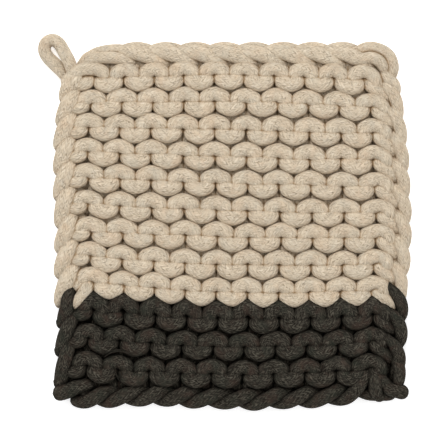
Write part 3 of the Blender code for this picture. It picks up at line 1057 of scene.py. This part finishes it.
def row_with_sinkers(ridge, jitter):
    """The row back to the left, with its sinkers on the face and its heads on the back."""
    route = []
    for stitch in reversed(range(STITCHES)):
        route.append(moved(LEG, stitch, ridge + 0.5))
        route += arc(HEAD, stitch, ridge + 0.5, True, jitter, -1)
        route.append(moved(LEG, stitch, ridge + 0.5, -1))
        if stitch > 0:
            route += arc(SINKER, stitch - 0.5, ridge, False, jitter, -1)
    return route


def ridge_route(ridge, jitter):
    """The cord of a ridge's two rows, round the right edge and through the left one."""
    left_turn = CHANGE_TURN if ridge == CHANGE else LEFT_TURN
    route = row_with_heads(ridge, jitter)
    route += right_turn(ridge)
    route += row_with_sinkers(ridge, jitter)
    route += [moved(bend, v=ridge) for bend in left_turn[:-1]]
    return knit_to_world(route)


def edge_link(ridge):
    """The link of the left selvedge beside a ridge."""
    bends = [moved(bend, v=ridge) for bend in EDGE_LINK]
    for bend, plain in zip(bends, EDGE_LINK):
        if ridge < CHANGE:
            bend[1] += CHARCOAL_LINK_LIFT
            if plain.rise > 0:
                bend[0] += CHARCOAL_LINK_IN * min(1.0, max(0.0, CHARCOAL_IN_UNDER - plain.v))
                bend[4] *= CHARCOAL_LINK_THIN
        if ridge == CHANGE - 1:
            bend[0] -= LAST_LINK_OUT * max(0.0, plain.v - LAST_OUT_OVER)
        if ridge == CHANGE:
            foot = min(1.0, max(0.0, CREAM_FOOT_UNDER - plain.v) / CREAM_FOOT_LENGTH)
            bend[0] -= CREAM_FOOT_OUT * foot
            bend[4] *= 1 - (1 - CREAM_FOOT_THIN) * foot
        if ridge == TOP:
            bend[1] -= TOP_LINK_SQUASH * max(0.0, plain.v - TOP_SQUASH_OVER)
    return knit_to_world(bends)


def rope_strand(number):
    """One of the cast-on rope's two strands, half a turn apart. The second one, number 1, rises
    out of the last lobe."""
    start, stop = ROPE_SPANS[number]
    at = np.linspace(start, stop, round((stop - start) * ROPE_STEPS) + 1)
    lobes = np.arange(len(ROPE_LOBES))
    turn = math.pi * (at + number)
    x = np.interp(at, lobes, [lobe.x for lobe in ROPE_LOBES]) * MM
    x += (at - np.clip(at, 0, lobes[-1])) * ROPE_LOBE
    low = np.interp(at, lobes, [lobe.low for lobe in ROPE_LOBES]) * MM
    y = low + ROPE_HALF + ROPE_ACROSS * (1 - np.cos(turn))
    z = MIDDLE_HEIGHT + ROPE_DEEP * np.sin(turn)
    half = np.full(len(at), ROPE_HALF)
    strand = np.column_stack((x + MIDDLE_X, y + EDGE_Y, z, half, half))
    if number == 1:
        strand = np.vstack((strand, placed(RIGHT_RISE)))
    return strand


# The pieces

Piece = namedtuple("Piece", "name node yarn cords")


def ridge_piece(number, jitter):
    """A ridge with the left selvedge's link beside it."""
    yarn = RIDGES[number].yarn
    cords = CordMesh(SEED + number)
    cords.add(ridge_route(number, jitter), taper=RIDGE_END)
    cords.add(edge_link(number), closed=True, reference=RIGHTWARDS)
    if number == CHANGE:
        stub = [moved(bend, v=number) for bend in CHANGE_STUB]
        cords.add(knit_to_world(stub), taper=RIDGE_END)
    return Piece(f"{yarn}_ridge_{number + 1}", f"{yarn}_knit", yarn, cords)


def cast_on():
    """The rope, the legs that rise from it, the cords at its ends, and the loose fibres."""
    cords = CordMesh(CAST_ON_SEED)
    for number in (0, 1):
        cords.add(rope_strand(number), taper=ROPE_END)
    for stitch in range(STITCHES):
        cords.add(knit_to_world([moved(bend, u=stitch) for bend in CAST_ON_LEG]))
    ends = (LEFT_KNOT, LEFT_UNDER, ROPE_UNDER, RIGHT_SIDE_UNDER)
    ends += (RIGHT_UPRIGHT, RIGHT_UNDER, RIGHT_KNOT, RIGHT_FOOT)
    for points in ends:
        cords.add(placed(points), taper=KNOT_END)
    for points in LOOSE_FIBRES:
        cords.add(placed(points), taper=FIBRE_END)
    return Piece("charcoal_cast_on", "charcoal_knit", "charcoal", cords)


def bind_off():
    """The chain of links, the cord inside it, and the worked corners."""
    cords = CordMesh(BIND_OFF_SEED)
    for number in range(CHAIN_LINKS):
        middle = CHAIN_FIRST + CHAIN_PITCH * number
        link = [moved(bend, u=middle, v=TOP) for bend in CHAIN_LINK]
        cords.add(knit_to_world(link), closed=True)
    core = [moved(bend, u=stitch, v=TOP) for stitch in range(1, STITCHES) for bend in CHAIN_CORE]
    cords.add(knit_to_world(core), taper=CHAIN_END)
    for points in (TOP_LEFT_OUTER, TOP_LEFT_INNER, TOP_RIGHT_OUTER, TOP_RIGHT_INNER):
        cords.add(placed(points), taper=CHAIN_END)
    return Piece("cream_bind_off", "cream_knit", "cream", cords)


def hanging_loop():
    """The loop at the top left corner."""
    cords = CordMesh(LOOP_SEED)
    cords.add(placed(LOOP_ROUTE), taper=LOOP_END)
    return Piece("cream_hanging_loop", "hanging_loop", "cream", cords)


def laid_out():
    """All pieces, with their cords but without meshes."""
    jitter = random.Random(SEED)
    ridges = [ridge_piece(number, jitter) for number in range(len(RIDGES))]
    return [*ridges, cast_on(), bind_off(), hanging_loop()]


def dress():
    """Makes the pieces, each with painted shade from how closely all of them lie round it."""
    cottons = {
        "cream": cotton("cream_cord", CREAM),
        "charcoal": cotton("charcoal_cord", CHARCOAL),
    }
    pieces = laid_out()
    packing = Packing([core for piece in pieces for core in piece.cords.cores])
    for piece in pieces:
        made = piece.cords.make(piece.name, cottons[piece.yarn], packing)
        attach(made, "root")
        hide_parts(piece.node)


# Floor, lights and camera

FLOOR_SIZE = 6.0
PAPER = Grain(30.0, 2.0)
PAPER_TONES = ((0.3, (0.93, 0.93, 0.93)), (0.7, (0.95, 0.95, 0.95)))
PAPER_GLOW = 0.50
SKY_STRENGTH = 0.62

Light = namedtuple("Light", "name place size power")
LIGHTS = (
    Light("key", (-0.20, 0.75, 1.20), 0.6, 11.5),
    Light("fill", (0.40, -0.30, 1.30), 1.2, 4.0),
)

# The photograph's frame: its width on the knit's upper face, and the point under its middle
PHOTO_WIDTH = 252.9 * MM
PHOTO_MIDDLE = (-1.75 * MM, 0.70 * MM)
CAMERA_HEIGHT = 1.2
UPPER_FACE = 0.010
CLIP_START = 0.05
CLIP_END = 50.0


def floor():
    """A plain pale floor of paper."""
    bpy.ops.mesh.primitive_plane_add(size=FLOOR_SIZE, location=(0, 0, 0))
    made = bpy.context.object
    made.name = "floor"
    nodes = Nodes("floor_paper")
    place = nodes.add("ShaderNodeNewGeometry").outputs["Position"]
    paper = nodes.ramp(nodes.noise(place, PAPER), PAPER_TONES)
    nodes.feed(nodes.surface["Base Color"], paper)
    nodes.feed(nodes.surface["Roughness"], 1.0)
    nodes.feed(nodes.surface["Emission Color"], paper)
    nodes.feed(nodes.surface["Emission Strength"], PAPER_GLOW)
    made.data.materials.append(nodes.material)


def world():
    """Even white light from all round."""
    made = bpy.data.worlds.new("studio")
    made.use_nodes = True
    background = made.node_tree.nodes["Background"].inputs
    background["Color"].default_value = (1.0, 1.0, 1.0, 1.0)
    background["Strength"].default_value = SKY_STRENGTH
    bpy.context.scene.world = made


def area_light(light):
    """A square light that shines on the frame's origin."""
    data = bpy.data.lights.new(light.name, "AREA")
    data.size = light.size
    data.energy = light.power
    made = bpy.data.objects.new(light.name, data)
    made.location = light.place
    made.rotation_mode = "QUATERNION"
    made.rotation_quaternion = (-Vector(light.place)).to_track_quat("-Z", "Y")
    bpy.context.scene.collection.objects.link(made)


def camera():
    """A camera that looks straight down on the photograph's frame."""
    data = bpy.data.cameras.new("camera")
    data.lens = data.sensor_width * (CAMERA_HEIGHT - UPPER_FACE) / PHOTO_WIDTH
    data.clip_start = CLIP_START
    data.clip_end = CLIP_END
    made = bpy.data.objects.new("camera", data)
    made.location = (*PHOTO_MIDDLE, CAMERA_HEIGHT)
    bpy.context.scene.collection.objects.link(made)
    bpy.context.scene.camera = made


dress()
floor()
world()
for light in LIGHTS:
    area_light(light)
camera()
bpy.context.scene.view_settings.view_transform = "Standard"
